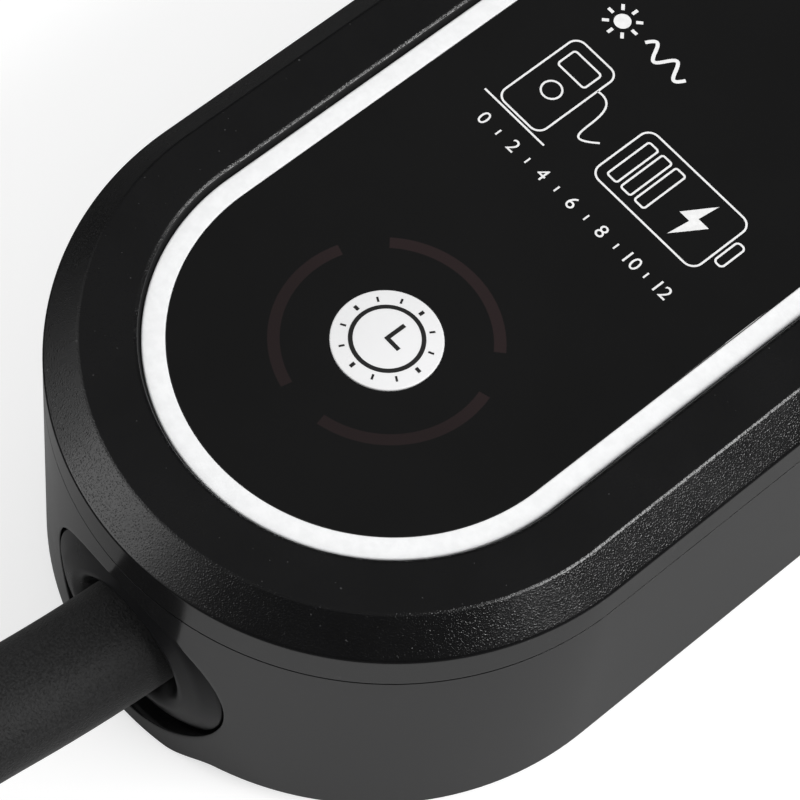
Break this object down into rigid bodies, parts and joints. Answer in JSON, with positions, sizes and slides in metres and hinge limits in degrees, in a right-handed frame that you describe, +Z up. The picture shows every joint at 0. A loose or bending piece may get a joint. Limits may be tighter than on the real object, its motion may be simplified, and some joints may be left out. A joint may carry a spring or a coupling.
{
  "type": "portable electric vehicle charger",
  "caption": "Portable in-line charging box for an electric car, with a light ring, push button and coiled charging lead ending in a capped vehicle connector.",
  "frame": {"origin": "middle of the box's flat underside", "axes": "+X across the box, +Y along it towards the supply end, +Z up; the charging lead leaves at -Y"},
  "size_m": [0.3153, 0.4832, 0.0698],
  "materials": {
    "case_gloss": "gloss moulded plastic",
    "rim_textured": "fine spark-eroded texture with gloss flats",
    "window": "gloss black window with printed symbols",
    "light_guide": "frosted white",
    "button_white": "satin white",
    "cable_rubber": "matte rubber",
    "seal_rubber": "soft rubber",
    "handle_plastic": "fine grain",
    "nose_plastic": "satin moulded plastic",
    "inner_plastic": "plain",
    "terminal_plastic": "plain",
    "circuit_board": "solder mask",
    "component_black": "plain",
    "component_blue": "plain",
    "led_white": "clear resin",
    "steel": "zinc-plated",
    "copper": "tinned copper",
    "contact_silver": "silver-plated",
    "wire_insulation": "smooth",
    "tie_strap": "soft strap with a woven face"
  },
  "bodies": {
    "case": {"lower_housing": "case_gloss", "top_bezel": "rim_textured", "housing_seal": "seal_rubber", "housing_screws": "steel", "light_ring": "light_guide", "front_panel": "window", "indicator_guide": "light_guide", "display_board": "circuit_board", "ring_leds": "led_white", "arc_leds": "led_white", "push_switch": "component_black", "display_screws": "steel", "lead_gland": "case_gloss", "supply_gland": "case_gloss", "lead_gland_seal": "seal_rubber", "supply_gland_seal": "seal_rubber", "lead_gland_retainer": "inner_plastic", "supply_gland_retainer": "inner_plastic", "lead_cable_clamp": "inner_plastic", "supply_cable_clamp": "inner_plastic", "lead_clamp_screws": "steel", "supply_clamp_screws": "steel", "lead_sheath_end": "cable_rubber", "lead_conductors": "wire_insulation", "main_board": "circuit_board", "board_screws": "steel", "lead_terminals": "terminal_plastic", "supply_terminals": "terminal_plastic", "line_relay": "component_black", "neutral_relay": "component_black", "current_sensor": "component_black", "sensor_bars": "copper", "transformer": "component_black", "filter_capacitor": "component_blue", "storage_capacitor": "component_black", "surge_disc": "component_blue", "controller_chip": "component_black", "ribbon_cable": "inner_plastic", "ribbon_sockets": "inner_plastic", "lead_stretch": "cable_rubber", "lead_coil": "cable_rubber", "lead_tail": "cable_rubber", "coil_tie": "tie_strap", "connector_shell_upper": "handle_plastic", "connector_shell_lower": "handle_plastic", "connector_nose": "nose_plastic", "connector_contacts": "contact_silver", "connector_cap": "seal_rubber", "connector_boot": "cable_rubber", "connector_screws": "steel"},
    "button": {"button_cap": "button_white", "switch_plunger": "component_black"}
  },
  "joints": [
    {"name": "button_press", "type": "slide", "parent": "case", "child": "button", "axis": [0, 0, -1], "range_m": [0, 0.0005], "stiffness_N_per_m": 1500}
  ]
}
